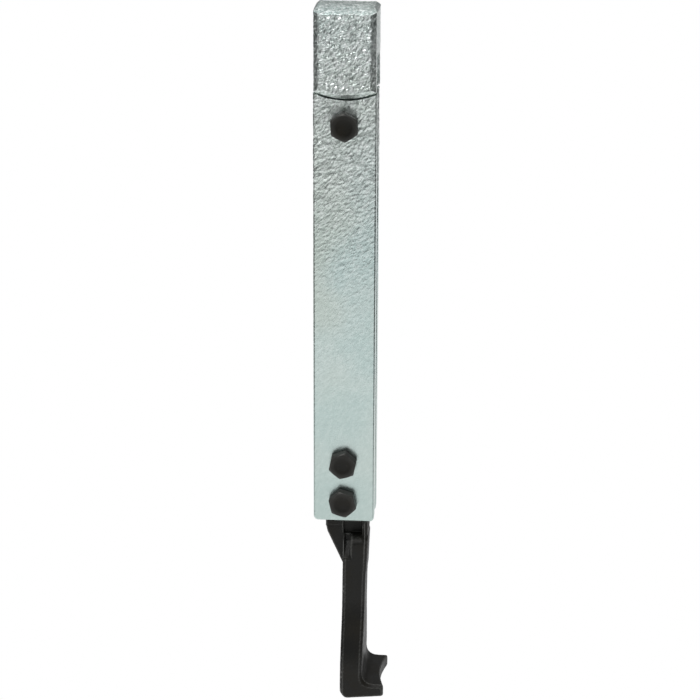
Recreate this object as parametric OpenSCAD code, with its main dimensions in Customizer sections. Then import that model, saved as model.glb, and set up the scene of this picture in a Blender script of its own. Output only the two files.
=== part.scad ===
// Pull leg of a two-arm puller: a slider head that hangs on the crossbeam, two long
// forged cheeks that swing on the head's tongue, and a slim jaw bolted between them.
// The origin is the middle of the face that bears on the crossbeam. +Z runs up the
// leg, -Y is the side with the bolt heads, and the jaw's foot points towards +X.

/* [Cheeks] */
// Width of the cheeks and of the slider head
leg_w = 31.4; // [28:0.5:34]
// Thickness of one cheek
cheek_t = 7; // [6:0.5:8]
// Gap between the two cheeks, which is the thickness of the jaw's tang
gap_t = 6; // [5.5:0.5:8]
// Length from the cheeks' bottom end to the lowest point of their hollow top edge
cheek_len = 224.5; // [180:0.5:300]
// Radius of the hollow top edge
cheek_top_r = 37; // [36:1:45]
// Radius of the bottom corners
cheek_corner_r = 2.5; // [1:0.5:5]

/* [Slider head] */
// Depth of the head, front to back
head_d = 24.6; // [24:0.2:30]
// Height of the solid bridge over the crossbeam window
bridge_h = 24.6; // [20:0.1:28]
// Bevel round the front and back faces
head_bevel = 2.7; // [1:0.1:4]
// Length of the longer slope at the back of the head's top
rear_slope = 5; // [3:0.5:6]
// Height of the crossbeam window
window_h = 16.8; // [14:0.2:20]
// Depth of the crossbeam window, front to back
window_d = 12.6; // [10:0.2:14]
// Radius of the rounded underside that faces the cheeks
shoulder_r = 35; // [30:1:36]
// Radius of the lower edge of the lips that overlap the cheeks in front and behind
lip_r = 42; // [40:1:46]
// Gap between the underside and the cheeks at mid-width
shoulder_gap = 0.5; // [0.4:0.1:1]
// Thickness of the tongue between the cheeks
tongue_t = 4.8; // [4:0.1:5]
// Half-width of the tongue, and the radius of its end
tongue_r = 11; // [9:0.5:12]

/* [Fasteners] */
// Height of the pivot bolt above the cheeks' bottom end
pivot_up = 212; // [170:0.5:213]
// Height of the upper jaw bolt above the cheeks' bottom end
upper_bolt_up = 33.2; // [28:0.1:38]
// Height of the lower jaw bolt above the cheeks' bottom end
lower_bolt_up = 11.5; // [10:0.1:13]
// Sideways place of the jaw bolts
jaw_bolt_x = -0.3; // [-2:0.1:2]
// Size across the flats of the bolt heads and nuts
hex_af = 13; // [13:0.1:13.2]
// Height of a bolt head
hex_h = 5.3; // [5:0.1:5.6]
// Radius of the bolt shanks
shank_r = 4; // [3.9:0.1:4]
// Radius of the bolt holes
hole_r = 4.2; // [4.1:0.1:4.4]
// Length of the pivot bolt's shank
pivot_bolt_len = 35; // [35:1:38]
// Length of the jaw bolts' shanks
jaw_bolt_len = 30; // [30:1:34]
// Turn of the pivot bolt's head
pivot_head_turn = 33; // [0:1:60]
// Turn of the upper jaw bolt's head
upper_head_turn = 19; // [0:1:60]
// Turn of the lower jaw bolt's head
lower_head_turn = 43; // [0:1:60]

/* [Jaw] */
// Outer edge of the tang
tang_left = -10; // [-12:0.1:-8]
// Inner edge of the tang, on the foot's side
tang_right = 12.4; // [12:0.1:14]
// Height of the tang between the cheeks
tang_up = 45; // [40:1:60]
// Outer edge of the arm
arm_left = -0.6; // [-2:0.1:0.5]
// Inner edge of the arm, on the foot's side
arm_right = 11.1; // [10:0.1:12]
// Depth of the arm, front to back
arm_d = 18; // [16:0.5:20]
// Depth of the foot, front to back
foot_d = 35.6; // [30:0.2:40]
// Depth below the cheeks of the top of the arm's rounded shoulder
arm_top = 10; // [6:0.1:11]
// Depth below the cheeks at which the gusset meets the arm
gusset_low = 29; // [22:0.5:32]
// Depth below the cheeks of the foot's gripping face
grip_low = 92.2; // [80:0.5:110]
// Reach of the foot's two tips from the middle of the leg
foot_reach = 22.5; // [20:0.1:26]
// Thickness of the foot at its tips
tip_t = 6.3; // [3.5:0.1:7]
// Radius of the hollow between the tips
tip_r = 51; // [45:1:60]

/* [Spring plunger] */
// Radius of the plunger's threaded body
plunger_r = 5; // [4.5:0.1:5]
// Length of the plunger's threaded body
plunger_len = 16; // [15:0.5:17]
// How far the pin stands out into the window
pin_out = 1.2; // [0.8:0.1:1.4]
// Radius of the pin's nose
pin_r = 2.2; // [2:0.1:2.3]
// Turns of the plunger spring
spring_turns = 6; // [4:1:7]

/* [Hidden] */
$fn = 96;
eps = 0.01;
over = 1;            // how far a cutting shape runs past what it cuts
run_gap = 0.05;      // radial clearance of a turning or sliding fit
zinc = "#b5c5c2";
forged = "#b4bebc";
black = "#2b2b28";
steel = "#8d8f8e";
window_floor = -window_h;
// Height of the cheeks' bottom end: the hollow top edge clears the head by shoulder_gap
shoulder_h = 3.2;    // solid under the window floor at mid-width
shoulder_low = window_floor - shoulder_h;
cheek_low = shoulder_low - shoulder_gap - cheek_len;
pivot_z = cheek_low + pivot_up;
leg_d = gap_t + 2 * cheek_t;
upper_bolt_z = cheek_low + upper_bolt_up;
lower_bolt_z = cheek_low + lower_bolt_up;
tang_root = 6;       // how far the tang's plate reaches below the cheeks
thrust_t = (gap_t - tongue_t) / 2 - 0.15;
sleeve_r = 6;
thrust_r = 10;
nut_h = 6.5;
lock_nut_h = 8;
flat_washer_t = 1.6;
flat_washer_r = 8;
spring_washer_t = 2;
plunger_low = 0.2;
plunger_room = 0.8;  // depth of the blind bore above the plunger's body
lip_t = 2;
collar_r = 3.4;
collar_t = 2.2;
collar_low = plunger_low + lip_t + run_gap;
plug_h = 3.6;
plunger_top = plunger_low + plunger_len;
wire_r = 0.35;
coil_r = 2.4;
spring_low = collar_low + collar_t + wire_r + run_gap;
spring_top = plunger_top - plug_h - wire_r - run_gap;

// ---- helpers ----

// Extrudes an outline drawn in X and Z from y0 to y1
module from_front(y0, y1)
    translate([0, y1, 0])
        rotate([90, 0, 0])
            linear_extrude(y1 - y0)
                children();

// Extrudes an outline drawn in Y and Z from x0 to x1
module from_side(x0, x1)
    translate([x0, 0, 0])
        rotate([90, 0, 90])
            linear_extrude(x1 - x0)
                children();

// Cylinder along Y from y0 to y1 with its axis at x, z
module y_rod(x, z, r, y0, y1)
    translate([x, y1, z])
        rotate([90, 0, 0])
            cylinder(r = r, h = y1 - y0);

// Points of an arc about c, from angle a0 to a1
function arc(c, r, a0, a1, n = 12) =
    [for (i = [0 : n]) let (a = a0 + (a1 - a0) * i / n) c + r * [cos(a), sin(a)]];

// Hexagonal prism along Y whose corner points to the angle turn, its rim bevelled
module y_hex(x, z, h, y0, turn, bevel_front, bevel_back) {
    corner_r = hex_af / sqrt(3);
    rim = (corner_r - hex_af / 2) * 1.1;
    drop = rim * tan(30);
    translate([x, y0 + h, z])
        rotate([90, 0, 0])
            intersection() {
                rotate([0, 0, turn])
                    cylinder(r = corner_r, h = h, $fn = 6);
                rotate_extrude()
                    polygon([
                        [0, 0],
                        [corner_r - (bevel_back ? rim : 0), 0],
                        [corner_r + eps, bevel_back ? drop : 0],
                        [corner_r + eps, h - (bevel_front ? drop : 0)],
                        [corner_r - (bevel_front ? rim : 0), h],
                        [0, h]
                    ]);
            }
}

// ---- slider head ----

module head_front_outline() {
    top_corner = 2.1;
    half = leg_w / 2;
    side_a = asin(half / lip_r);
    polygon(concat(
        arc([0, shoulder_low + lip_r], lip_r, 270 - side_a, 270 + side_a, 24),
        [[half, bridge_h - top_corner]],
        [[half - top_corner, bridge_h]],
        [[-half + top_corner, bridge_h]],
        [[-half, bridge_h - top_corner]]
    ));
}

// The front half of each side leans in by draft, from the parting line to the front bevel
module head_plan_outline() {
    half = leg_w / 2;
    deep = head_d / 2;
    draft = 0.4;
    bevel_y = -deep + 2.2;
    parting_y = -2;
    polygon([
        [-half, parting_y], [-half + draft, bevel_y], [-half + head_bevel, -deep],
        [half - head_bevel, -deep], [half - draft, bevel_y], [half, parting_y],
        [half, deep - head_bevel], [half - head_bevel, deep],
        [-half + head_bevel, deep], [-half, deep - head_bevel]
    ]);
}

module head_side_outline() {
    deep = head_d / 2;
    front_drop = 2.3;
    polygon([
        [-deep, shoulder_low - over], [deep, shoulder_low - over],
        [deep, bridge_h - head_bevel], [deep - rear_slope, bridge_h],
        [-deep + head_bevel, bridge_h], [-deep, bridge_h - front_drop]
    ]);
}

// Turned shape about the underside's centre that bevels the rounded underside
module underside_bevel() {
    deep = head_d / 2;
    reach = 60;
    far = 80;
    translate([0, 0, shoulder_low + lip_r])
        rotate([90, 0, 0])
            rotate_extrude()
                polygon([
                    [lip_r, -deep + head_bevel], [lip_r - head_bevel, -deep],
                    [lip_r - head_bevel, -reach], [far, -reach],
                    [far, reach], [lip_r - head_bevel, reach],
                    [lip_r - head_bevel, deep], [lip_r, deep - head_bevel]
                ]);
}

module head_block()
    intersection() {
        from_front(-head_d / 2, head_d / 2) head_front_outline();
        translate([0, 0, shoulder_low - over])
            linear_extrude(bridge_h - shoulder_low + 2 * over)
                head_plan_outline();
        from_side(-leg_w / 2, leg_w / 2) head_side_outline();
    }

// Lower half of the underside bevel only, so that the top of the head keeps its own
module underside_cut() {
    arc_rise = 12.2;
    intersection() {
        underside_bevel();
        translate([-leg_w, -head_d, shoulder_low - over])
            cube([2 * leg_w, 2 * head_d, arc_rise]);
    }
}

// Room for the cheeks' ends between the two lips
module cheek_room() {
    lip_clearance = 0.3;
    half = leg_d / 2 + lip_clearance;
    room_h = 8;
    from_front(-half, half)
        difference() {
            translate([-leg_w, shoulder_low - 2 * over])
                square([2 * leg_w, room_h]);
            translate([0, shoulder_low + shoulder_r])
                circle(r = shoulder_r);
        }
}

module tongue() {
    root = 1.5;
    from_front(-tongue_t / 2, tongue_t / 2)
        union() {
            translate([0, pivot_z])
                circle(r = tongue_r);
            translate([-tongue_r, pivot_z])
                square([2 * tongue_r, shoulder_low + root - pivot_z]);
        }
}

module slider_head()
    color(forged)
    difference() {
        union() {
            difference() {
                head_block();
                underside_cut();
                cheek_room();
            }
            tongue();
        }
        translate([-leg_w, -window_d / 2, window_floor])
            cube([2 * leg_w, window_d, window_h]);
        translate([0, 0, -over])
            cylinder(r = plunger_r + run_gap, h = plunger_top + plunger_room + over);
        y_rod(0, pivot_z, sleeve_r + run_gap, -head_d, head_d);
    }

// ---- spring plunger ----

module plunger_body()
    color(black)
    translate([0, 0, plunger_low])
        difference() {
            cylinder(r = plunger_r, h = plunger_len);
            translate([0, 0, -over])
                cylinder(r = pin_r + run_gap, h = plunger_len);
            translate([0, 0, lip_t])
                cylinder(r = collar_r + run_gap, h = plunger_len);
        }

module plunger_pin() {
    tail_r = 1.3;
    tail_h = 2;
    nose_r = 0.8;
    color(steel)
    rotate_extrude()
        polygon(concat(
            [[0, -pin_out]],
            arc([pin_r - nose_r, -pin_out + nose_r], nose_r, -90, 0, 6),
            [
                [pin_r, collar_low], [collar_r, collar_low],
                [collar_r, collar_low + collar_t], [tail_r, collar_low + collar_t],
                [tail_r, collar_low + collar_t + tail_h],
                [0, collar_low + collar_t + tail_h]
            ]
        ));
}

// Coil swept as a ring of sides along a helix
module plunger_spring() {
    sides = 8;
    per_turn = 20;
    rings = spring_turns * per_turn;
    rise = spring_top - spring_low;
    ring_points = [for (i = [0 : rings])
        let (a = 360 * i / per_turn)
        let (s = i / rings)
        let (z = spring_low + rise * s)
        for (k = [0 : sides - 1])
            let (b = 360 * k / sides)
            let (r = coil_r + wire_r * cos(b))
            [r * cos(a), r * sin(a), z + wire_r * sin(b)]];
    walls = [for (i = [0 : rings - 1])
        for (k = [0 : sides - 1])
            let (j = (k + 1) % sides)
            [i * sides + k, i * sides + j, (i + 1) * sides + j, (i + 1) * sides + k]];
    start_cap = [for (k = [sides - 1 : -1 : 0]) k];
    end_cap = [for (k = [0 : sides - 1]) rings * sides + k];
    color(steel)
    polyhedron(points = ring_points, faces = concat(walls, [start_cap, end_cap]));
}

module plunger_plug() {
    socket_af = 3;
    socket_deep = 2;
    color(black)
    translate([0, 0, plunger_top - plug_h])
        difference() {
            cylinder(r = collar_r, h = plug_h);
            translate([0, 0, plug_h - socket_deep])
                cylinder(r = socket_af / sqrt(3), h = socket_deep + over, $fn = 6);
        }
}

// ---- cheeks ----

module cheek_outline() {
    half = leg_w / 2;
    r = cheek_corner_r;
    top_centre = cheek_low + cheek_len + cheek_top_r;
    ear_round = 0.5;
    ear_drop = 0.3;
    side_a = asin((half - ear_round) / cheek_top_r);
    ear_z = top_centre - cheek_top_r * cos(side_a);
    polygon(concat(
        arc([-half + r, cheek_low + r], r, 180, 270, 6),
        arc([half - r, cheek_low + r], r, 270, 360, 6),
        [[half, ear_z - ear_drop]],
        arc([0, top_centre], cheek_top_r, 270 + side_a, 270 - side_a, 24),
        [[-half, ear_z - ear_drop]]
    ));
}

module cheek(y0)
    difference() {
        from_front(y0, y0 + cheek_t) cheek_outline();
        y_rod(0, pivot_z, hole_r, y0 - over, y0 + cheek_t + over);
        for (z = [upper_bolt_z, lower_bolt_z])
            y_rod(jaw_bolt_x, z, hole_r, y0 - over, y0 + cheek_t + over);
    }

module front_cheek() color(zinc) cheek(-leg_d / 2);
module rear_cheek() color(zinc) cheek(gap_t / 2);

// ---- fasteners ----

module bolt(x, z, len, turn)
    color(black)
    union() {
        y_hex(x, z, hex_h, -leg_d / 2 - hex_h, turn, true, false);
        y_rod(x, z, shank_r, -leg_d / 2 - eps, -leg_d / 2 + len);
    }

module nut(x, z, y0, h, turn)
    color(black)
    difference() {
        y_hex(x, z, h, y0, turn, true, true);
        y_rod(x, z, shank_r + run_gap, y0 - over, y0 + h + over);
    }

module ring(x, z, r, bore_r, y0, t)
    difference() {
        y_rod(x, z, r, y0, y0 + t);
        y_rod(x, z, bore_r, y0 - over, y0 + t + over);
    }

// Split ring whose cut faces the angle turn
module spring_washer(z, turn) {
    outer_r = 7.4;
    bore_r = 4.1;
    slit = 0.9;
    color(black)
    difference() {
        ring(jaw_bolt_x, z, outer_r, bore_r, leg_d / 2, spring_washer_t);
        translate([jaw_bolt_x, leg_d / 2 - over, z])
            rotate([0, -turn, 0])
                translate([0, 0, -slit / 2])
                    cube([outer_r + over, spring_washer_t + 2 * over, slit]);
    }
}

module pivot_bolt()
    bolt(0, pivot_z, pivot_bolt_len, pivot_head_turn);
module jaw_bolt_upper()
    bolt(jaw_bolt_x, upper_bolt_z, jaw_bolt_len, upper_head_turn);
module jaw_bolt_lower()
    bolt(jaw_bolt_x, lower_bolt_z, jaw_bolt_len, lower_head_turn);

module pivot_sleeve()
    color(steel) ring(0, pivot_z, sleeve_r, hole_r, -gap_t / 2, gap_t);
module thrust_washer_front()
    color(steel) ring(0, pivot_z, thrust_r, sleeve_r + 2 * run_gap, -gap_t / 2, thrust_t);
module thrust_washer_rear()
    color(steel)
    ring(0, pivot_z, thrust_r, sleeve_r + 2 * run_gap, gap_t / 2 - thrust_t, thrust_t);
module pivot_washer()
    color(steel) ring(0, pivot_z, flat_washer_r, hole_r, leg_d / 2, flat_washer_t);
module pivot_lock_nut()
    nut(0, pivot_z, leg_d / 2 + flat_washer_t, lock_nut_h, turn = 12);

module spring_washer_upper() spring_washer(upper_bolt_z, turn = 130);
module spring_washer_lower() spring_washer(lower_bolt_z, turn = 35);
module jaw_nut_upper()
    nut(jaw_bolt_x, upper_bolt_z, leg_d / 2 + spring_washer_t, nut_h, turn = 41);
module jaw_nut_lower()
    nut(jaw_bolt_x, lower_bolt_z, leg_d / 2 + spring_washer_t, nut_h, turn = 4);

// ---- jaw ----

// Flat plate between the cheeks
module tang_outline() {
    r = 3;
    top = cheek_low + tang_up;
    polygon(concat(
        [[tang_left, cheek_low - tang_root], [tang_right, cheek_low - tang_root]],
        arc([tang_right - r, top - r], r, 0, 90, 6),
        arc([tang_left + r, top - r], r, 90, 180, 6)
    ));
}

// Thin web that carries the tang's overhang down to the arm
module gusset_outline() {
    lap = 4;
    gusset_top = 7.8;
    top = cheek_low - tang_root + 0.1;
    low = cheek_low - gusset_low;
    polygon([
        [tang_left, top], [tang_left, cheek_low - gusset_top],
        [arm_left, low], [arm_left + lap, low], [arm_left + lap, top]
    ]);
}

// Arm and foot seen from the front: the arm narrows a little towards the foot
module arm_outline() {
    narrow = 0.7;
    draft = 0.3;
    fillet_r = 6;
    heel_r = 3;
    heel_x = arm_left - narrow + draft + heel_r;
    toe_r = 1.2;
    top = cheek_low - arm_top;
    grip = cheek_low - grip_low;
    heel_t = 8.9;
    heel = grip - heel_t;
    taper_z = cheek_low - 36;
    polygon(concat(
        [[tang_right, top], [arm_left, top]],
        [[arm_left - narrow, grip]],
        arc([heel_x, heel + heel_r], heel_r, 180, 262, 6),
        arc([foot_reach - toe_r, grip - tip_t + toe_r], toe_r, 280, 360, 4),
        arc([foot_reach - toe_r / 2, grip - toe_r / 2], toe_r / 2, 0, 90, 3),
        arc([arm_right - narrow + fillet_r, grip + fillet_r], fillet_r, 270, 180, 10),
        [[arm_right + draft, taper_z]]
    ));
}

// Arm and foot seen from the side: rounded top, parallel neck, flare to the foot's depth
module arm_side_outline() {
    half = arm_d / 2;
    foot_half = foot_d / 2;
    top = cheek_low - arm_top;
    under_foot = 12;
    low = cheek_low - grip_low - under_foot;
    round_r = 6;
    flare_top = cheek_low - grip_low * 0.5;
    flare_low = cheek_low - grip_low + 8.2;
    function flare(s) = half + (foot_half - half) * (1 - cos(180 * s)) / 2;
    right_side = concat(
        [[foot_half, low]],
        [for (i = [0 : 12]) let (s = 1 - i / 12)
            [flare(s), flare_top + (flare_low - flare_top) * s]],
        arc([half - round_r, top - round_r], round_r, 0, 90, 8)
    );
    left_side = [for (i = [len(right_side) - 1 : -1 : 0])
        [-right_side[i][0], right_side[i][1]]];
    polygon(concat(right_side, left_side));
}

// Full-depth shoulder at the inner side that butts against the cheeks' ends
module stop_shoulder() {
    bevel = 1.2;
    inner = tang_right - 3.2;
    half = arm_d / 2;
    top = cheek_low - 0.3;
    low = cheek_low - 30;
    low_right = arm_right + 0.4;
    intersection() {
        from_front(-half, half)
            polygon([[inner, top], [tang_right, top], [low_right, low], [inner, low]]);
        translate([0, 0, low])
            linear_extrude(top - low)
                polygon([
                    [inner, -half], [tang_right - bevel, -half], [tang_right, -half + bevel],
                    [tang_right, half - bevel], [tang_right - bevel, half], [inner, half]
                ]);
    }
}

module jaw() {
    web_half = gap_t / 2 - 0.8;
    hollow_x = foot_reach + sqrt(pow(tip_r, 2) - pow(foot_d / 2, 2));
    hollow_h = 60;
    color(black)
    difference() {
        union() {
            from_front(-gap_t / 2, gap_t / 2) tang_outline();
            from_front(-web_half, web_half) gusset_outline();
            stop_shoulder();
            intersection() {
                from_front(-foot_d, foot_d) arm_outline();
                from_side(-leg_w, leg_w) arm_side_outline();
            }
        }
        for (z = [upper_bolt_z, lower_bolt_z])
            y_rod(jaw_bolt_x, z, hole_r, -gap_t, gap_t);
        translate([hollow_x, 0, cheek_low - grip_low - hollow_h / 2])
            cylinder(r = tip_r, h = hollow_h);
    }
}

slider_head();
plunger_body();
plunger_pin();
plunger_spring();
plunger_plug();
front_cheek();
rear_cheek();
pivot_bolt();
pivot_sleeve();
thrust_washer_front();
thrust_washer_rear();
pivot_washer();
pivot_lock_nut();
jaw();
jaw_bolt_upper();
jaw_bolt_lower();
spring_washer_upper();
spring_washer_lower();
jaw_nut_upper();
jaw_nut_lower();
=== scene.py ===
"""Looks of the puller leg: forged and plated head and cheeks, black jaw, black M8 fasteners."""

import math

import bmesh
import bpy
import numpy as np
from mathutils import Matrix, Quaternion, Vector, noise


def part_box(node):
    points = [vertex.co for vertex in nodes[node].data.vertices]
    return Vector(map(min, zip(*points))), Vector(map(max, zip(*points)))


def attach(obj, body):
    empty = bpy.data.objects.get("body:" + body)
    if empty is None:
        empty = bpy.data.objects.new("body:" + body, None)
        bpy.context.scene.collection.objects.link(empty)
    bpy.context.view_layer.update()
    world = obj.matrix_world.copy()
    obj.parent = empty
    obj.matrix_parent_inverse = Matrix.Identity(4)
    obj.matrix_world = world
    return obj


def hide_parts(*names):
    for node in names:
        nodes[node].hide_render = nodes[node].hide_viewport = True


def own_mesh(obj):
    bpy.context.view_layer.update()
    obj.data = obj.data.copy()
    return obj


MM = 0.001
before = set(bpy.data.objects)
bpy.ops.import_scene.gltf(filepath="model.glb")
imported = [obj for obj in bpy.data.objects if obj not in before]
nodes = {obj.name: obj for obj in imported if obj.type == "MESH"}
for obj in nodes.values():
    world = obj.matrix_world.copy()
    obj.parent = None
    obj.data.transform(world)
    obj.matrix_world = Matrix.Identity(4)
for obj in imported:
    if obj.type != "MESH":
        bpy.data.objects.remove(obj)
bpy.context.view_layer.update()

# ---------------------------------------------------------------- places from the frame

cheek_lo, cheek_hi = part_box("front_cheek")
head_lo, head_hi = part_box("slider_head")
jaw_lo, jaw_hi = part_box("jaw")


def middle(node):
    lo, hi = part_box(node)
    return (lo + hi) / 2


# ---------------------------------------------------------------- camera

VIEW_AZIMUTH, VIEW_ELEVATION, VIEW_ROLL = 4.89, 21.04, 0.22
VIEW_DISTANCE = 1.1084
VIEW_TARGET = Vector((2.15 * MM, 0, -153.4 * MM))
LENS_MM = 111.97


def add_camera():
    data = bpy.data.cameras.new("camera")
    data.lens = LENS_MM
    data.sensor_width = 36
    data.clip_end = 100
    camera = bpy.data.objects.new("camera", data)
    bpy.context.scene.collection.objects.link(camera)
    azimuth, elevation = math.radians(VIEW_AZIMUTH), math.radians(VIEW_ELEVATION)
    back = Vector(
        (
            math.sin(azimuth) * math.cos(elevation),
            -math.cos(azimuth) * math.cos(elevation),
            math.sin(elevation),
        )
    )
    camera.location = VIEW_TARGET + VIEW_DISTANCE * back
    camera.rotation_mode = "QUATERNION"
    roll = Quaternion((0, 0, 1), math.radians(VIEW_ROLL))
    camera.rotation_quaternion = back.to_track_quat("Z", "Y") @ roll
    bpy.context.scene.camera = camera


# ---------------------------------------------------------------- materials


class Nodes:
    """A short way to write a node tree."""

    def __init__(self, name):
        self.material = bpy.data.materials.new(name)
        self.material.use_nodes = True
        self.tree = self.material.node_tree
        self.shader = self.tree.nodes["Principled BSDF"]
        self.place = self.add("ShaderNodeTexCoord").outputs["Object"]

    def add(self, kind, inputs=None, **settings):
        node = self.tree.nodes.new(kind)
        for key, value in settings.items():
            setattr(node, key, value)
        for key, value in (inputs or {}).items():
            self.put(node.inputs[key], value)
        return node

    def put(self, socket, value):
        if isinstance(value, bpy.types.NodeSocket):
            self.tree.links.new(value, socket)
        else:
            socket.default_value = value

    def noise(self, scale, detail=2, rough=0.5, place=None, distortion=0):
        made = self.add(
            "ShaderNodeTexNoise",
            {
                "Vector": place or self.place,
                "Scale": scale,
                "Detail": detail,
                "Roughness": rough,
                "Distortion": distortion,
            },
        )
        return made.outputs["Fac"]

    def height(self):
        return self.add("ShaderNodeSeparateXYZ", {"Vector": self.place}).outputs["Z"]

    def stretched(self, scale):
        made = self.add(
            "ShaderNodeMapping", {"Vector": self.place, "Scale": scale}
        )
        return made.outputs["Vector"]

    def diagonal(self, stretch):
        """Places turned about Y, so that a noise becomes streaks that rise to the right."""
        made = self.add(
            "ShaderNodeMapping",
            {"Vector": self.place, "Rotation": (0, math.radians(-55), 0), "Scale": (stretch, 1, 1)},
            vector_type="TEXTURE",
        )
        return made.outputs["Vector"]

    def math(self, operation, a, b=0.0):
        made = self.add("ShaderNodeMath", operation=operation)
        self.put(made.inputs[0], a)
        self.put(made.inputs[1], b)
        return made.outputs[0]

    def ramp(self, factor, low, high, to_low=0.0, to_high=1.0, smooth=True):
        made = self.add(
            "ShaderNodeMapRange",
            {
                "Value": factor,
                "From Min": low,
                "From Max": high,
                "To Min": to_low,
                "To Max": to_high,
            },
            interpolation_type="SMOOTHSTEP" if smooth else "LINEAR",
        )
        return made.outputs["Result"]

    def mix(self, factor, a, b):
        made = self.add("ShaderNodeMix", data_type="RGBA")
        self.put(made.inputs[0], factor)
        self.put(made.inputs[6], a)
        self.put(made.inputs[7], b)
        return made.outputs[2]

    def bump(self, height, distance, strength=1.0, below=None):
        made = self.add(
            "ShaderNodeBump", {"Height": height, "Distance": distance, "Strength": strength}
        )
        if below is not None:
            self.put(made.inputs["Normal"], below)
        return made.outputs["Normal"]


def rgb(red, green, blue):
    return (red, green, blue, 1)


def zinc_material(name, grain_at, shade=1.0):
    """Blue zinc plating over forged steel. grain_at(n) gives how coarse the skin is, from 0 to 1."""
    n = Nodes(name)
    grain = grain_at(n)
    patches = n.ramp(n.noise(26, 3, 0.55), 0.38, 0.64)
    warm = n.ramp(n.noise(11, 2, 0.5, distortion=0.6), 0.42, 0.66)
    blue = rgb(0.50 * shade, 0.615 * shade, 0.60 * shade)
    pale = rgb(0.565 * shade, 0.655 * shade, 0.635 * shade)
    straw = rgb(0.535 * shade, 0.60 * shade, 0.54 * shade)
    colour = n.mix(patches, blue, pale)
    colour = n.mix(n.math("MULTIPLY", warm, 0.65), colour, straw)
    height_z = n.height()
    # Painted shade: the colour darkens towards the lower end of the cheeks.
    painted_shade_low = n.ramp(height_z, cheek_lo.z, cheek_lo.z + 0.15, 0.55, 0.0, smooth=False)
    colour = n.mix(painted_shade_low, colour, rgb(0.36, 0.43, 0.40))
    # Painted light: the upper cheeks and the head grow paler, except at the head's top edge.
    painted_light_high = n.ramp(height_z, cheek_hi.z - 0.09, cheek_hi.z - 0.02, 0.0, 0.5)
    crown = n.ramp(height_z, head_hi.z - 0.0035, head_hi.z - 0.002, 1.0, 0.0)
    painted_light_high = n.math("MULTIPLY", painted_light_high, crown)
    colour = n.mix(painted_light_high, colour, rgb(0.80, 0.86, 0.83))
    flakes = n.noise(700, 3, 0.7, distortion=0.5, place=n.diagonal(2.2))
    # Painted glints and painted shade: pale and dark specks on the forged grain.
    painted_glint = n.math("MULTIPLY", n.ramp(flakes, 0.46, 0.62), grain)
    colour = n.mix(painted_glint, colour, rgb(0.93, 0.98, 0.97))
    shadow = n.math("MULTIPLY", n.ramp(flakes, 0.44, 0.34), grain)
    colour = n.mix(n.math("MULTIPLY", shadow, 0.8), colour, rgb(0.26, 0.31, 0.30))
    pits = n.ramp(n.noise(1150, 2, 0.5), 0.30, 0.46, 1.0, 0.0)
    dark = rgb(0.20 * shade, 0.235 * shade, 0.225 * shade)
    pit_share = n.math("MULTIPLY", pits, n.math("MULTIPLY", grain, 0.55))
    colour = n.mix(pit_share, colour, dark)
    n.put(n.shader.inputs["Base Color"], colour)
    n.shader.inputs["Metallic"].default_value = 1.0
    fine = n.noise(2600, 2, 0.6)
    rough = n.math("ADD", n.ramp(fine, 0.3, 0.7, 0.22, 0.32), n.math("MULTIPLY", grain, 0.06))
    n.put(n.shader.inputs["Roughness"], rough)
    orange_peel = n.bump(n.noise(340, 2, 0.5), 0.00006, 0.8)
    micro = n.bump(fine, 0.00002, 0.5, below=orange_peel)
    height = n.math("MULTIPLY", flakes, grain)
    n.put(n.shader.inputs["Normal"], n.bump(height, 0.0007, 1.0, below=micro))
    return n.material


def head_grain(n):
    return n.ramp(n.noise(60, 1), 0.2, 0.8, 0.85, 1.0)


def cheek_grain(n):
    z = n.height()
    near = n.ramp(z, cheek_hi.z - 0.10, cheek_hi.z, 0.0, 0.5, smooth=False)
    far = n.ramp(z, cheek_lo.z + 0.03, cheek_hi.z - 0.02, 0.07, 0.22, smooth=False)
    return n.math("ADD", near, far)


def black_material(name, base, rough_low, rough_high, wear=0.25, edge_sheen_and_wear=0.6):
    """Black oxide: dark, faintly brown, with dull rubbed spots."""
    n = Nodes(name)
    cloud = n.noise(90, 4, 0.6)
    speck = n.noise(900, 3, 0.6)
    brown = rgb(base[0] * 1.5, base[1] * 1.32, base[2] * 1.05)
    colour = n.mix(n.ramp(cloud, 0.35, 0.7), rgb(*base), brown)
    rubbed = n.math("MULTIPLY", n.ramp(speck, 0.60, 0.78), wear)
    colour = n.mix(rubbed, colour, rgb(0.085, 0.083, 0.078))
    # Sharp edges lighter: rubbed oxide with a painted highlight on the bevels.
    edge = n.add("ShaderNodeNewGeometry").outputs["Pointiness"]
    worn_and_lit_edges = n.math("MULTIPLY", n.ramp(edge, 0.503, 0.535), n.ramp(cloud, 0.2, 0.6, 0.6, 1.0))
    colour = n.mix(n.math("MULTIPLY", worn_and_lit_edges, edge_sheen_and_wear), colour, rgb(0.10, 0.10, 0.095))
    n.put(n.shader.inputs["Base Color"], colour)
    n.shader.inputs["Metallic"].default_value = 0.2
    n.shader.inputs["Specular IOR Level"].default_value = 0.25
    n.put(n.shader.inputs["Roughness"], n.ramp(cloud, 0.3, 0.7, rough_low, rough_high))
    coarse = n.bump(n.noise(300, 3, 0.55), 0.00005, 0.7)
    n.put(n.shader.inputs["Normal"], n.bump(speck, 0.00003, 0.6, below=coarse))
    return n.material


def steel_material():
    """Turned steel: fine rings of tooling and a slight tarnish."""
    n = Nodes("turned_steel")
    tarnish = n.ramp(n.noise(140, 3, 0.6), 0.35, 0.7)
    colour = n.mix(tarnish, rgb(0.50, 0.50, 0.49), rgb(0.36, 0.355, 0.34))
    n.put(n.shader.inputs["Base Color"], colour)
    n.shader.inputs["Metallic"].default_value = 1.0
    n.put(n.shader.inputs["Roughness"], n.ramp(tarnish, 0, 1, 0.24, 0.38))
    lines = n.noise(900, 2, 0.5, place=n.stretched((1, 12, 1)))
    n.put(n.shader.inputs["Normal"], n.bump(lines, 0.00002, 0.5))
    return n.material


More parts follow.
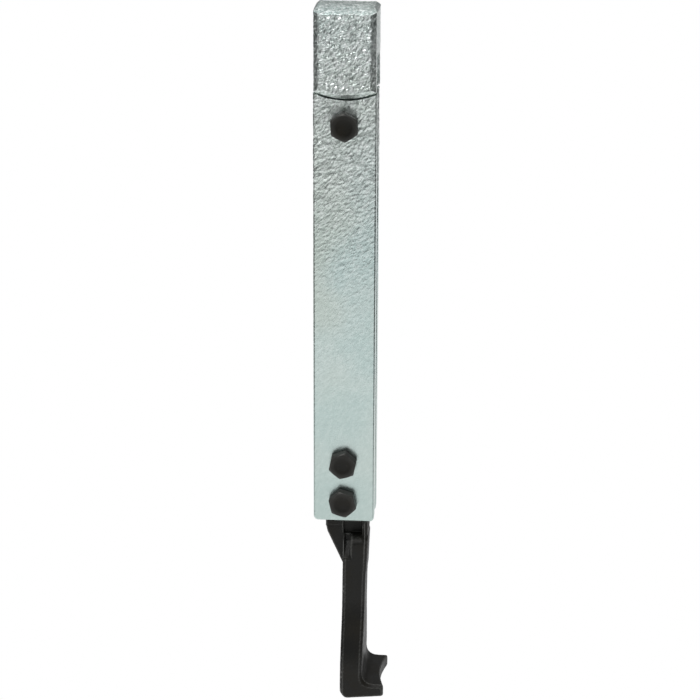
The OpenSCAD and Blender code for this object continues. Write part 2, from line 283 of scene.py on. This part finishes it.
def nylon_material():
    """The lock nut's insert ring."""
    n = Nodes("lock_ring")
    cloud = n.noise(300, 3, 0.6)
    colour = n.mix(cloud, rgb(0.055, 0.10, 0.24), rgb(0.085, 0.14, 0.30))
    n.put(n.shader.inputs["Base Color"], colour)
    n.put(n.shader.inputs["Roughness"], n.ramp(cloud, 0.3, 0.7, 0.38, 0.5))
    n.put(n.shader.inputs["Normal"], n.bump(cloud, 0.00003, 0.5))
    return n.material


# ---------------------------------------------------------------- mesh helpers


def new_piece(name, bm, material, body, node, sharp=32):
    """Turns bm into a piece that rides on body and stands for node."""
    bmesh.ops.recalc_face_normals(bm, faces=bm.faces)
    mesh = bpy.data.meshes.new(name)
    bm.to_mesh(mesh)
    bm.free()
    return finish_piece(name, mesh, material, body, node, sharp)


def finish_piece(name, mesh, material, body, node, sharp=32):
    piece = bpy.data.objects.new(name, mesh)
    bpy.context.scene.collection.objects.link(piece)
    mesh.materials.clear()
    mesh.materials.append(material)
    mesh.polygons.foreach_set("use_smooth", [True] * len(mesh.polygons))
    mesh.set_sharp_from_angle(angle=math.radians(sharp))
    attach(piece, body)
    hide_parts(node)
    return piece


# ---------------------------------------------------------------- solids from distances
# A forging is a function of place, in millimetres: negative inside, positive outside.


def meet(a, b, chamfer=0.0, radius=0.0):
    """What lies inside both a and b, with a flat chamfer or a rounded edge where they meet."""
    joined = np.maximum(a, b)
    if chamfer:
        joined = np.maximum(joined, (a + b + chamfer) * math.sqrt(0.5))
    if radius:
        joined = joined + np.maximum(radius - np.abs(a - b), 0) ** 2 / (4 * radius)
    return joined


def either(a, b, fillet=0.0):
    """What lies inside a or b, with a soft fillet where they meet."""
    joined = np.minimum(a, b)
    if fillet:
        near = np.maximum(fillet - np.abs(a - b), 0)
        joined = joined - near**2 / (4 * fillet)
    return joined


def between(value, low, high):
    return np.maximum(low - value, value - high)


def round_bar(a, b, radius):
    return np.hypot(a, b) - radius


def plane(u, v, start, end):
    """Distance to the left of the line from start to end in the plane of u and v."""
    run, rise = end[0] - start[0], end[1] - start[1]
    length = math.hypot(run, rise)
    return ((v - start[1]) * run - (u - start[0]) * rise) / length


def surface_net(distance, low, high, cell):
    """Points and four-sided faces on the surface where distance is zero."""
    counts = [int(math.ceil((high[i] - low[i]) / cell)) + 5 for i in range(3)]
    axes = [low[i] - 2 * cell + cell * np.arange(counts[i]) for i in range(3)]
    field = distance(*np.meshgrid(*axes, indexing="ij"))
    inside = field < 0
    total = np.zeros([n - 1 for n in counts] + [3])
    hits = np.zeros([n - 1 for n in counts])
    edges = []
    for axis in range(3):
        first = [slice(None)] * 3
        second = [slice(None)] * 3
        first[axis], second[axis] = slice(0, -1), slice(1, None)
        first, second = tuple(first), tuple(second)
        crossed = np.argwhere(inside[first] != inside[second])
        crossed = crossed[np.all(crossed > 0, axis=1)]
        at = tuple(crossed.T)
        before, after = field[first][at], field[second][at]
        point = crossed.astype(float)
        point[:, axis] += before / (before - after)
        others = [k for k in range(3) if k != axis]
        cells = []
        for step_a, step_b in ((0, 0), (1, 0), (1, 1), (0, 1)):
            corner = crossed.copy()
            corner[:, others[0]] -= step_a
            corner[:, others[1]] -= step_b
            place = tuple(corner.T)
            np.add.at(total, place, point)
            np.add.at(hits, place, 1)
            cells.append(corner)
        edges.append((cells, inside[first][at] == (axis != 1)))
    used = hits > 0
    number = np.full(used.shape, -1)
    number[used] = np.arange(used.sum())
    points = total[used] / hits[used][:, None] * cell + np.array([a[0] for a in axes])
    faces = []
    for cells, forward in edges:
        quads = np.stack([number[tuple(c.T)] for c in cells], axis=1)
        quads[~forward] = quads[~forward][:, ::-1]
        faces.append(quads)
    return points, np.concatenate(faces)


def settle(points, distance, rounds=3, reach=0.02):
    """Moves points onto the surface, along the slope of the distance."""
    for _ in range(rounds):
        x, y, z = points.T
        here = distance(x, y, z)
        slope = np.stack(
            [
                distance(x + reach, y, z) - distance(x - reach, y, z),
                distance(x, y + reach, z) - distance(x, y - reach, z),
                distance(x, y, z + reach) - distance(x, y, z - reach),
            ],
            axis=1,
        ) / (2 * reach)
        size = np.maximum((slope**2).sum(axis=1), 0.25)
        move = np.clip(here / size, -0.2, 0.2)
        points = points - slope * move[:, None]
    return points


def forge(name, node, distance, cell, skin, material, body):
    """Makes a piece from its distance function, then sinks its surface into a forged skin.

    Only sinking is kept, so the piece stays inside its solid.
    """
    lo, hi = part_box(node)
    low, high = [c / MM for c in lo], [c / MM for c in hi]
    points, faces = surface_net(distance, low, high, cell)
    points = settle(points, distance)
    mesh = bpy.data.meshes.new(name)
    mesh.from_pydata((points * MM).tolist(), [], faces.tolist())
    mesh.update()
    coarse, fine = np.zeros(len(points)), np.zeros(len(points))
    for index, (x, y, z) in enumerate(points):
        coarse[index] = noise.noise(Vector((x, y, z)) / LONG_WAVE)
        streak = Vector(((x + z) * STREAK_STRETCH, y, x - z)) / GRAIN_WAVE
        fine[index] = noise.noise(streak) + 0.5 * noise.noise(streak * 2.03)
    depth = skin(*points.T) * (0.62 * fine + 0.5 * coarse - SKIN_SINK)
    normals = np.zeros(len(points) * 3)
    mesh.vertices.foreach_get("normal", normals)
    moved = points + normals.reshape(-1, 3) * np.minimum(depth, 0)[:, None]
    mesh.vertices.foreach_set("co", (moved * MM).ravel())
    mesh.update()
    return finish_piece(name, mesh, material, body, node, 60)


# ---------------------------------------------------------------- forgings

GRAIN_WAVE, LONG_WAVE, STREAK_STRETCH, SKIN_SINK = 1.05, 9.0, 0.45, 0.55
HALF_W = cheek_hi.x / MM
PIVOT_Z = middle("pivot_sleeve").z / MM
UPPER_Z = middle("jaw_bolt_upper").z / MM
LOWER_Z = middle("jaw_bolt_lower").z / MM
JAW_BOLT_X = -0.3
JAW_HOLES = [(JAW_BOLT_X, UPPER_Z), (JAW_BOLT_X, LOWER_Z)]
HOLE_R = 4.2
CHEEK_LOW = cheek_lo.z / MM
CHEEK_LONG = 224.5
CHEEK_HALF_T = 3.5
SHOULDER_LOW = -20.0


def bolt_holes(x, z, places):
    holes = [HOLE_R - np.hypot(x - place_x, z - place_z) for place_x, place_z in places]
    return np.maximum.reduce(holes)


def head_block(x, y, z):
    """Block with bevelled faces, drafted sides and a rounded underside with lips."""
    deep, top = -head_lo.y / MM, head_hi.z / MM
    bevel, bevel_deep, draft, parting_y = 2.7, 2.2, 0.4, -2
    corner_cut, crown_fall, rear_run = 2.1, 0.0127, 5
    shoulder_r, lip_r = 35.0, 42.0
    room_half, room_top = 10.3, -13
    side = np.abs(x)
    bevel_edge = (HALF_W - draft, -deep + bevel_deep)
    block = meet(side - HALF_W, plane(side, y, bevel_edge, (HALF_W, parting_y)) * -1)
    block = meet(block, plane(side, y, (HALF_W - bevel, -deep), bevel_edge) * -1)
    block = meet(block, plane(side, y, (HALF_W, deep - bevel), (HALF_W - bevel, deep)) * -1)
    crown = z - top + crown_fall * np.minimum(y - 2, 0) ** 2
    rear_slope = plane(y, z, (deep - rear_run, top), (deep, top - bevel))
    corner = (side + z - (HALF_W + top - corner_cut)) * math.sqrt(0.5)
    block = meet(block, meet(meet(crown, rear_slope), corner))
    under = np.hypot(x, z - (SHOULDER_LOW + lip_r)) - lip_r
    under = np.where(z < 10, under, -10.0)
    block = meet(block, meet(np.abs(y) - deep, under, bevel))
    room = shoulder_r - np.hypot(x, z - (SHOULDER_LOW + shoulder_r))
    room = meet(meet(np.abs(y) - room_half, room), z - room_top)
    return meet(block, -room)


def head_distance(x, y, z):
    """The head's block with its tongue, the crossbeam window and the plunger's bore."""
    tongue_r, tongue_half, sleeve_r = 11.0, 2.4, 6.05
    window_half, window_low = 6.3, -16.8
    bore_r, bore_top = 5.05, 17.0
    neck = meet(np.abs(x) - tongue_r, between(z, PIVOT_Z, SHOULDER_LOW + 1.5))
    tongue_shape = either(round_bar(x, z - PIVOT_Z, tongue_r), neck)
    tongue = meet(np.abs(y) - tongue_half, tongue_shape, 0.4)
    solid = either(head_block(x, y, z), tongue)
    window = meet(np.abs(y) - window_half, between(z, window_low, 0.0))
    bore = meet(round_bar(x, y, bore_r), between(z, -1.0, bore_top))
    solid = meet(solid, -either(window, bore), 0.5)
    return meet(solid, sleeve_r - np.hypot(x, z - PIVOT_Z))


def head_skin(x, y, z):
    """Deepest on the front face; none in the window or on the tongue."""
    outside = (np.abs(y) > 6.6) | (z > 1) & (np.hypot(x, y) > 5.5)
    top = np.clip((z - 21.5) / 1.5, 0, 1)
    smooth = np.clip((np.abs(x) - 12.4) / 0.5, 0, 1)
    low = np.clip((-12.5 - z) / 3.0, 0, 1)
    deep = 0.85 * (1 - 0.75 * top) * (1 - 0.8 * smooth) * (1 - 0.75 * low)
    return np.where(outside, deep, 0.0)


def cheek_distance(middle_y):
    """Distance function of a flat bar round middle_y, with a hollow top end and three holes."""
    top_r, corner = 37.0, 2.5

    def distance(x, y, z):
        across = np.abs(x) - HALF_W
        outline = meet(across, CHEEK_LOW - z)
        near = np.maximum(across + corner, 0), np.maximum(CHEEK_LOW - z + corner, 0)
        outline = meet(outline, np.hypot(*near) - corner)
        hollow = top_r - np.hypot(x, z - (CHEEK_LOW + CHEEK_LONG + top_r))
        outline = meet(outline, bolt_holes(x, z, [(0, PIVOT_Z)] + JAW_HOLES))
        plate = meet(outline, np.abs(y - middle_y) - CHEEK_HALF_T, 0.7)
        return meet(plate, hollow, 0.2)

    return distance


def cheek_skin(x, y, z):
    """Deeper towards the head; none on the faces between the cheeks."""
    up = (z - CHEEK_LOW) / CHEEK_LONG
    near_head = np.clip((up - 0.45) / 0.55, 0, 1)
    inner = np.abs(y) < 3.2
    return np.where(inner, 0.0, 0.045 + 0.42 * near_head**1.8)


ARM_TOP, ARM_LEFT, ARM_HALF = 10.0, -0.6, 9
TANG_LEFT, TANG_RIGHT = jaw_lo.x / MM, 12.4
GRIP_LOW, FOOT_REACH, FOOT_WIDER = 92.2, jaw_hi.x / MM, 8.8
HEEL_T, TIP_T = 8.9, 6.3


def arm_right(below):
    """The arm narrows towards the foot."""
    return np.interp(below, [ARM_TOP, 36, GRIP_LOW], [TANG_RIGHT, 11.4, 10.4])


def jaw_limb(x, y, below):
    """Slim arm with a groove in its top, which widens into a hooked foot with a hollow tip."""
    depth, edge, crest_r = np.abs(y), 1.5, 6
    flare_top, flare_long = 46, 38
    left = ARM_LEFT - 0.7 * np.clip((below - ARM_TOP) / (GRIP_LOW - ARM_TOP), 0, 1)
    sole = plane(x, below, (-1.1, GRIP_LOW + HEEL_T), (FOOT_REACH, GRIP_LOW + TIP_T))
    foot = meet(x - FOOT_REACH, GRIP_LOW - below, radius=1.5)
    profile = meet(either(x - arm_right(below), foot, 7.0), left - x)
    flare = np.clip((below - flare_top) / flare_long, 0, 1)
    half = ARM_HALF + FOOT_WIDER * (1 - np.cos(np.pi * flare)) / 2
    limb = meet(profile, depth - half, chamfer=edge)
    heel = (left - x + sole + 3.0) * math.sqrt(0.5)
    limb = meet(limb, meet(sole, heel, radius=1.0), radius=1.2)
    corner_y, corner_z = depth - half + crest_r, ARM_TOP + crest_r - below
    crest = np.hypot(np.maximum(corner_y, 0), np.maximum(corner_z, 0)) - crest_r
    limb = meet(meet(limb, ARM_TOP - below), crest, radius=0.8)
    hollow_x, hollow_r = FOOT_REACH + 47.8, 51.0
    limb = meet(limb, hollow_r - np.hypot(x - hollow_x, y), radius=0.7)
    groove_low = 22
    groove_deep = 6.0 * np.clip((groove_low - below) / 8, 0, 1)
    groove = meet(ARM_HALF - groove_deep - depth, below - groove_low)
    return meet(limb, -meet(between(x, 0.2, 3.2), groove), radius=1.2)


def jaw_plate(x, y, z, below):
    """Tang between the cheeks and the gusset below it, with a pocket above the arm."""
    depth = np.abs(y)
    slant = plane(x, below, (TANG_LEFT, 7.8), (ARM_LEFT, 29))
    web = meet(meet(slant, TANG_LEFT - x, 0.8), meet(x - ARM_LEFT - 11, below - 35))
    web = meet(meet(web, 5.9 - below), depth - 2.9, radius=0.9)
    tang = meet(between(x, TANG_LEFT, TANG_RIGHT), between(below, -45, 6))
    tang = meet(meet(tang, depth - 3, 0.4), bolt_holes(x, z, JAW_HOLES))
    pocket = meet(between(x, ARM_LEFT, 9.6), meet(between(below, 3.6, 14), 0.8 - depth))
    return meet(either(web, tang, 0.6), -pocket, radius=0.5)


def jaw_distance(x, y, z):
    """Limb and plate, with the shoulder that butts against the cheeks' ends."""
    below = CHEEK_LOW - z
    shoulder = meet(between(x, 9.4, arm_right(below)), between(below, 0.3, 30), radius=0.8)
    shoulder = meet(shoulder, np.abs(y) - ARM_HALF, chamfer=2.6)
    solid = either(jaw_limb(x, y, below), jaw_plate(x, y, z, below), 0.5)
    return either(solid, shoulder, 1.5)


def jaw_skin(x, y, z):
    """A fine skin below the cheeks; none on the tang between them."""
    return np.where(z < CHEEK_LOW, 0.07, 0.0)


# ---------------------------------------------------------------- fasteners

SIDES = 96
PITCH = 1.25 * MM
MAJOR, MINOR = 4.0 * MM, 3.35 * MM
HEX_AF = 13 * MM
HEX_FLAT = HEX_AF / 2 * 0.955
HEX_SLOPE = math.tan(math.radians(30))
HEAD_HIGH, THREAD_LONG = 5.3 * MM, 22 * MM


def hex_radius(angle, turn):
    """Distance from the middle to a hexagon's wall, with slightly rounded corners."""
    power = 70
    total = 0.0
    for k in range(6):
        facing = math.cos(angle - turn - math.radians(30 + 60 * k))
        total += max(facing, 0.0) ** power
    return HEX_AF / 2 * total ** (-1 / power)


def lathe(bm, rings, axis_at, closed_start=True, closed_end=True):
    """Joins rings into a skin along Y. A ring is (y, radius) or (y, function of angle)."""
    rows = []
    for y, radius in rings:
        row = []
        for k in range(SIDES):
            angle = 2 * math.pi * k / SIDES
            r = radius(angle) if callable(radius) else radius
            dy = y(angle) if callable(y) else y
            place = Vector((r * math.cos(angle), dy, r * math.sin(angle)))
            row.append(bm.verts.new(axis_at + place))
        rows.append(row)
    for a, b in zip(rows, rows[1:]):
        for k in range(SIDES):
            j = (k + 1) % SIDES
            bm.faces.new((a[k], a[j], b[j], b[k]))
    if closed_start:
        bm.faces.new(rows[0])
    if closed_end:
        bm.faces.new(reversed(rows[-1]))
    return rows


def hex_rings(y_back, y_front, turn, washer_face):
    """Rings of a bolt head from the bearing face at y_back to the crown at y_front."""
    way = 1 if y_front > y_back else -1

    def wall(angle):
        return hex_radius(angle, turn)

    def crown(angle):
        return y_front - way * max(0.0, wall(angle) - HEX_FLAT) * HEX_SLOPE

    rings = []
    if washer_face:
        rings += [(y_back, HEX_AF / 2 * 0.94), (y_back + way * 0.35 * MM, HEX_AF / 2 * 0.95)]
    rings += [
        (y_back + way * 0.36 * MM, lambda a: wall(a) - 0.18 * MM),
        (y_back + way * 0.55 * MM, wall),
        (lambda a: crown(a) - way * 0.12 * MM, wall),
        (lambda a: crown(a) + way * 0.02 * MM, lambda a: wall(a) - 0.12 * MM),
        (y_front - way * 0.03 * MM, HEX_FLAT + 0.05 * MM),
        (y_front, HEX_FLAT - 0.15 * MM),
    ]
    return rings


def thread_rows(y_start, y_end, steps_per_turn=10):
    """Rings whose radius follows a screw thread that runs out at both ends."""
    count = int((y_end - y_start) / PITCH * steps_per_turn)
    rows = []
    for i in range(count + 1):
        y = y_start + (y_end - y_start) * i / count

        def radius(angle, y=y):
            phase = (y / PITCH + angle / (2 * math.pi)) % 1.0
            tooth = min(1.0, max(0.0, 1.6 * (1 - abs(2 * phase - 1)) - 0.18))
            fade = min(1.0, (y - y_start) / (0.8 * PITCH), (y_end - y) / (0.9 * PITCH) + 0.25)
            full = MINOR + (MAJOR - 0.05 * MM - MINOR) * tooth
            start = MAJOR - 0.05 * MM if y - y_start < 0.8 * PITCH else MINOR
            return full * fade + start * (1 - fade)

        rows.append((y, radius))
    return rows


def make_bolt(node, name, turn_degrees, material):
    """Hexagon bolt with a slightly dished head and a threaded end."""
    lo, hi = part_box(node)
    centre = middle(node)
    axis_at = Vector((centre.x, 0, centre.z))
    if node == "pivot_bolt":
        axis_at.x = 0
    head_back = lo.y + HEAD_HIGH
    thread_from = hi.y - THREAD_LONG
    bm = bmesh.new()
    rings = list(reversed(hex_rings(head_back, lo.y, math.radians(turn_degrees), True)))
    dish = [
        (lo.y + 0.25 * MM, 2.2 * MM),
        (lo.y + 0.12 * MM, 3.6 * MM),
        (lo.y, 4.2 * MM),
    ]
    rings = dish + rings
    rings += [(head_back, MAJOR + 0.2 * MM), (head_back + 0.3 * MM, MAJOR), (thread_from, MAJOR)]
    rings += thread_rows(thread_from + 0.01 * MM, hi.y - 0.4 * MM)
    rings += [(hi.y, MINOR - 0.3 * MM)]
    lathe(bm, rings, axis_at)
    return new_piece(name, bm, material, "leg", node)


def make_nut(node, name, turn_degrees, material, ring_material=None):
    """A hexagon nut, or a lock nut with a collar round its plastic ring."""
    lo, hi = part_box(node)
    centre = middle(node)
    bolt = {"pivot_lock_nut": "pivot_bolt", "jaw_nut_upper": "jaw_bolt_upper"}
    bolt_x = middle(bolt.get(node, "jaw_bolt_lower")).x if node != "pivot_lock_nut" else 0.0
    axis_at = Vector((bolt_x, 0, centre.z))
    turn = math.radians(turn_degrees)
    bore = MAJOR + 0.05 * MM

    def wall(angle):
        return hex_radius(angle, turn)

    def low_edge(angle):
        return lo.y + max(0.0, wall(angle) - HEX_FLAT) * HEX_SLOPE

    top = hi.y if ring_material is None else lo.y + 5.6 * MM

    def high_edge(angle):
        return top - max(0.0, wall(angle) - HEX_FLAT) * HEX_SLOPE

    rings = [
        (lo.y + 0.4 * MM, bore),
        (lo.y, bore + 0.4 * MM),
        (lo.y, HEX_FLAT - 0.15 * MM),
        (lo.y + 0.03 * MM, HEX_FLAT),
        (low_edge, lambda a: wall(a) - 0.10 * MM),
        (lambda a: low_edge(a) + 0.12 * MM, wall),
        (lambda a: high_edge(a) - 0.12 * MM, wall),
        (high_edge, lambda a: wall(a) - 0.10 * MM),
        (top - 0.03 * MM, HEX_FLAT),
    ]
    if ring_material is None:
        rings += [(top, HEX_FLAT - 0.15 * MM), (top, bore + 0.4 * MM), (top - 0.4 * MM, bore)]
    else:
        rings += [
            (top, 5.7 * MM),
            (top + 0.3 * MM, 5.45 * MM),
            (hi.y - 0.7 * MM, 5.35 * MM),
            (hi.y - 0.2 * MM, 5.1 * MM),
            (hi.y, 4.85 * MM),
            (hi.y - 0.15 * MM, 4.6 * MM),
            (hi.y - 0.5 * MM, 4.55 * MM),
            (hi.y - 0.5 * MM, bore),
        ]
    bm = bmesh.new()
    rows = lathe(bm, rings, axis_at, closed_start=False, closed_end=False)
    for k in range(SIDES):
        j = (k + 1) % SIDES
        bm.faces.new((rows[-1][k], rows[-1][j], rows[0][j], rows[0][k]))
    piece = new_piece(name, bm, material, "leg", node)
    if ring_material is not None:
        piece.data.materials.append(ring_material)
        for polygon in piece.data.polygons:
            radial = polygon.center - Vector((axis_at.x, polygon.center.y, axis_at.z))
            if polygon.center.y > hi.y - 0.6 * MM and radial.length < 4.58 * MM:
                polygon.material_index = 1
    return piece


def make_washer(node, name, material):
    """Flat washer with a rolled outer edge on one side and a burr-free bore."""
    lo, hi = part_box(node)
    outer = (hi.x - lo.x) / 2
    bore = 4.2 * MM
    edge = 0.25 * MM
    rings = [
        (lo.y + edge / 2, bore),
        (lo.y, bore + edge / 2),
        (lo.y, outer - edge / 2),
        (lo.y + edge / 2, outer),
        (hi.y - 1.6 * edge, outer),
        (hi.y - 0.5 * edge, outer - 0.35 * edge),
        (hi.y, outer - 1.6 * edge),
        (hi.y, bore + edge / 2),
        (hi.y - edge / 2, bore),
    ]
    bm = bmesh.new()
    rows = lathe(bm, rings, middle(node), closed_start=False, closed_end=False)
    for row in rows:
        for vertex in row:
            vertex.co.y -= middle(node).y
    for k in range(SIDES):
        j = (k + 1) % SIDES
        bm.faces.new((rows[-1][k], rows[-1][j], rows[0][j], rows[0][k]))
    return new_piece(name, bm, material, "leg", node)


def make_spring_washer(node, name, turn_degrees, material):
    """Split ring, pressed flat, with cut ends that stand open."""
    lo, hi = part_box(node)
    centre = Vector((middle("jaw_bolt_upper").x, 0, middle(node).z))
    outer, bore, edge = 7.4 * MM, 4.12 * MM, 0.18 * MM
    section = [
        (bore, lo.y + edge),
        (bore + edge, lo.y),
        (outer - edge, lo.y),
        (outer, lo.y + edge),
        (outer, hi.y - edge),
        (outer - edge, hi.y),
        (bore + edge, hi.y),
        (bore, hi.y - edge),
    ]
    steps = 72
    gap = math.radians(8)
    start = math.radians(turn_degrees) + gap / 2
    sweep = 2 * math.pi - gap
    bm = bmesh.new()
    rows = []
    for i in range(steps + 1):
        angle = start + sweep * i / steps
        row = []
        for radius, y in section:
            lean = 0.35 * MM * (radius - bore) / (outer - bore) * (2 * (y > lo.y + 1 * MM) - 1)
            at = angle + (lean / radius if i in (0, steps) else 0)
            place = Vector((radius * math.cos(at), y, radius * math.sin(at)))
            row.append(bm.verts.new(centre + place))
        rows.append(row)
    count = len(section)
    for a, b in zip(rows, rows[1:]):
        for k in range(count):
            j = (k + 1) % count
            bm.faces.new((a[k], a[j], b[j], b[k]))
    bm.faces.new(rows[0])
    bm.faces.new(reversed(rows[-1]))
    return new_piece(name, bm, material, "leg", node)


# ---------------------------------------------------------------- studio

FLOOR_DROP, FLOOR_HALF = 0.15, 8.0
PAPER_HALF, PAPER_WIDER, PAPER_GLOW, FRONT_FLOOR = 0.55, 0.9, 1.15, 0.12
WALL, CEILING, SIDE_WALL = 0.30, 0.55, 0.12


def add_area(name, place, target, size, power, colour=(1, 1, 1)):
    data = bpy.data.lights.new(name, "AREA")
    data.shape = "RECTANGLE"
    data.size, data.size_y = size
    data.energy = power
    data.color = colour
    lamp = bpy.data.objects.new(name, data)
    bpy.context.scene.collection.objects.link(lamp)
    lamp.location = place
    lamp.rotation_mode = "QUATERNION"
    lamp.rotation_quaternion = (Vector(target) - Vector(place)).to_track_quat("-Z", "Y")
    return lamp


def seen_by_camera(n):
    return n.add("ShaderNodeLightPath").outputs["Is Camera Ray"]


class WorldNodes(Nodes):
    """The same short way, for the world's tree."""

    def __init__(self, world):
        world.use_nodes = True
        self.tree = world.node_tree
        self.shader = self.tree.nodes["Background"]
        self.place = self.add("ShaderNodeTexCoord").outputs["Generated"]


def add_world():
    """A room with a bright ceiling, a dim front wall and dark sides."""
    world = bpy.data.worlds.new("studio")
    bpy.context.scene.world = world
    n = WorldNodes(world)
    axes = n.add("ShaderNodeSeparateXYZ", {"Vector": n.place}).outputs
    height = n.ramp(axes["Z"], 0.05, 0.85, WALL, CEILING)
    sideways = n.math("ABSOLUTE", axes["X"])
    light = n.math("MULTIPLY", height, n.ramp(sideways, 0.35, 0.8, 1.0, SIDE_WALL))
    light = n.mix(seen_by_camera(n), light, (1, 1, 1, 1))
    n.put(n.shader.inputs["Color"], light)
    n.shader.inputs["Strength"].default_value = 1.0


def add_floor():
    """White paper in a wide strip, with dark floor to the left and right of it."""
    floor_z = jaw_lo.z - FLOOR_DROP
    bm = bmesh.new()
    bmesh.ops.create_grid(bm, x_segments=2, y_segments=2, size=FLOOR_HALF)
    bmesh.ops.translate(bm, vec=(0, 0, floor_z), verts=bm.verts)
    mesh = bpy.data.meshes.new("floor")
    bm.to_mesh(mesh)
    bm.free()
    floor = bpy.data.objects.new("floor", mesh)
    bpy.context.scene.collection.objects.link(floor)
    n = Nodes("floor_paper")
    camera_ray = seen_by_camera(n)
    axes = n.add("ShaderNodeSeparateXYZ", {"Vector": n.place}).outputs
    widening = n.ramp(axes["Y"], -0.2, 0.8, 0.0, PAPER_WIDER, smooth=False)
    across = n.math("SUBTRACT", n.math("ABSOLUTE", axes["X"]), widening)
    paper = n.ramp(across, PAPER_HALF * 0.7, PAPER_HALF * 1.3, 0.6, 0.04)
    paper = n.math("MULTIPLY", paper, n.ramp(axes["Y"], -2.3, -1.35, FRONT_FLOOR, 1.0))
    paper = n.math("MULTIPLY", paper, n.ramp(n.noise(3, 2), 0, 1, 0.97, 1.0))
    n.put(n.shader.inputs["Base Color"], n.mix(camera_ray, paper, (0, 0, 0, 1)))
    glow = n.math("MULTIPLY", paper, PAPER_GLOW)
    n.shader.inputs["Emission Strength"].default_value = 1.0
    n.put(n.shader.inputs["Emission Color"], n.mix(camera_ray, glow, (1, 1, 1, 1)))
    n.shader.inputs["Roughness"].default_value = 1.0
    n.shader.inputs["Specular IOR Level"].default_value = 0.0
    mesh.materials.append(n.material)


def add_studio():
    add_world()
    add_floor()
    target = (0, 0, -0.15)
    add_area("key", (-0.35, -0.9, 1.0), target, (0.5, 0.5), 9)
    add_area("top", (0.25, 0.35, 1.2), target, (0.9, 0.6), 4)
    bpy.context.scene.view_settings.view_transform = "Standard"


# ---------------------------------------------------------------- assembly

add_camera()

forged_zinc = zinc_material("forged_zinc", head_grain, shade=0.97)
plated_zinc = zinc_material("plated_zinc", cheek_grain)
JAW_BLACK, BOLT_BLACK = (0.0085, 0.0088, 0.0078), (0.0085, 0.0082, 0.0064)
black_jaw = black_material("black_jaw", JAW_BLACK, 0.42, 0.56, wear=0.10, edge_sheen_and_wear=0.9)
black_oxide = black_material("black_oxide", BOLT_BLACK, 0.36, 0.52, wear=0.2)
turned_steel = steel_material()
lock_ring = nylon_material()

forge(
    "head_forging", "slider_head", head_distance, 0.36, head_skin, forged_zinc, "head"
)
for cheek_name, cheek_cell in (("front_cheek", 0.45), ("rear_cheek", 0.6)):
    cheek_shape = cheek_distance(middle(cheek_name).y / MM)
    cheek_piece = cheek_name + "_forging"
    forge(cheek_piece, cheek_name, cheek_shape, cheek_cell, cheek_skin, plated_zinc, "leg")
forge("jaw_forging", "jaw", jaw_distance, 0.42, jaw_skin, black_jaw, "leg")

make_bolt("pivot_bolt", "pivot_bolt_m8", 33, black_oxide)
make_bolt("jaw_bolt_upper", "jaw_bolt_upper_m8", 19, black_oxide)
make_bolt("jaw_bolt_lower", "jaw_bolt_lower_m8", 43, black_oxide)
make_nut("pivot_lock_nut", "pivot_lock_nut_m8", 12, black_oxide, lock_ring)
make_nut("jaw_nut_upper", "jaw_nut_upper_m8", 41, black_oxide)
make_nut("jaw_nut_lower", "jaw_nut_lower_m8", 4, black_oxide)
make_washer("pivot_washer", "pivot_washer_m8", turned_steel)
make_spring_washer("spring_washer_upper", "spring_washer_upper_m8", 130, black_oxide)
make_spring_washer("spring_washer_lower", "spring_washer_lower_m8", 35, black_oxide)

KEPT_NODES = {
    "pivot_sleeve": turned_steel,
    "thrust_washer_front": turned_steel,
    "thrust_washer_rear": turned_steel,
    "plunger_body": black_oxide,
    "plunger_plug": black_oxide,
    "plunger_pin": turned_steel,
    "plunger_spring": turned_steel,
}
for node_name, node_material in KEPT_NODES.items():
    cad_mesh = nodes[node_name].data
    cad_mesh.materials.clear()
    cad_mesh.materials.append(node_material)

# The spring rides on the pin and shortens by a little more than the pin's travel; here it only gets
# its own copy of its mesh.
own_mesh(nodes["plunger_spring"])

add_studio()
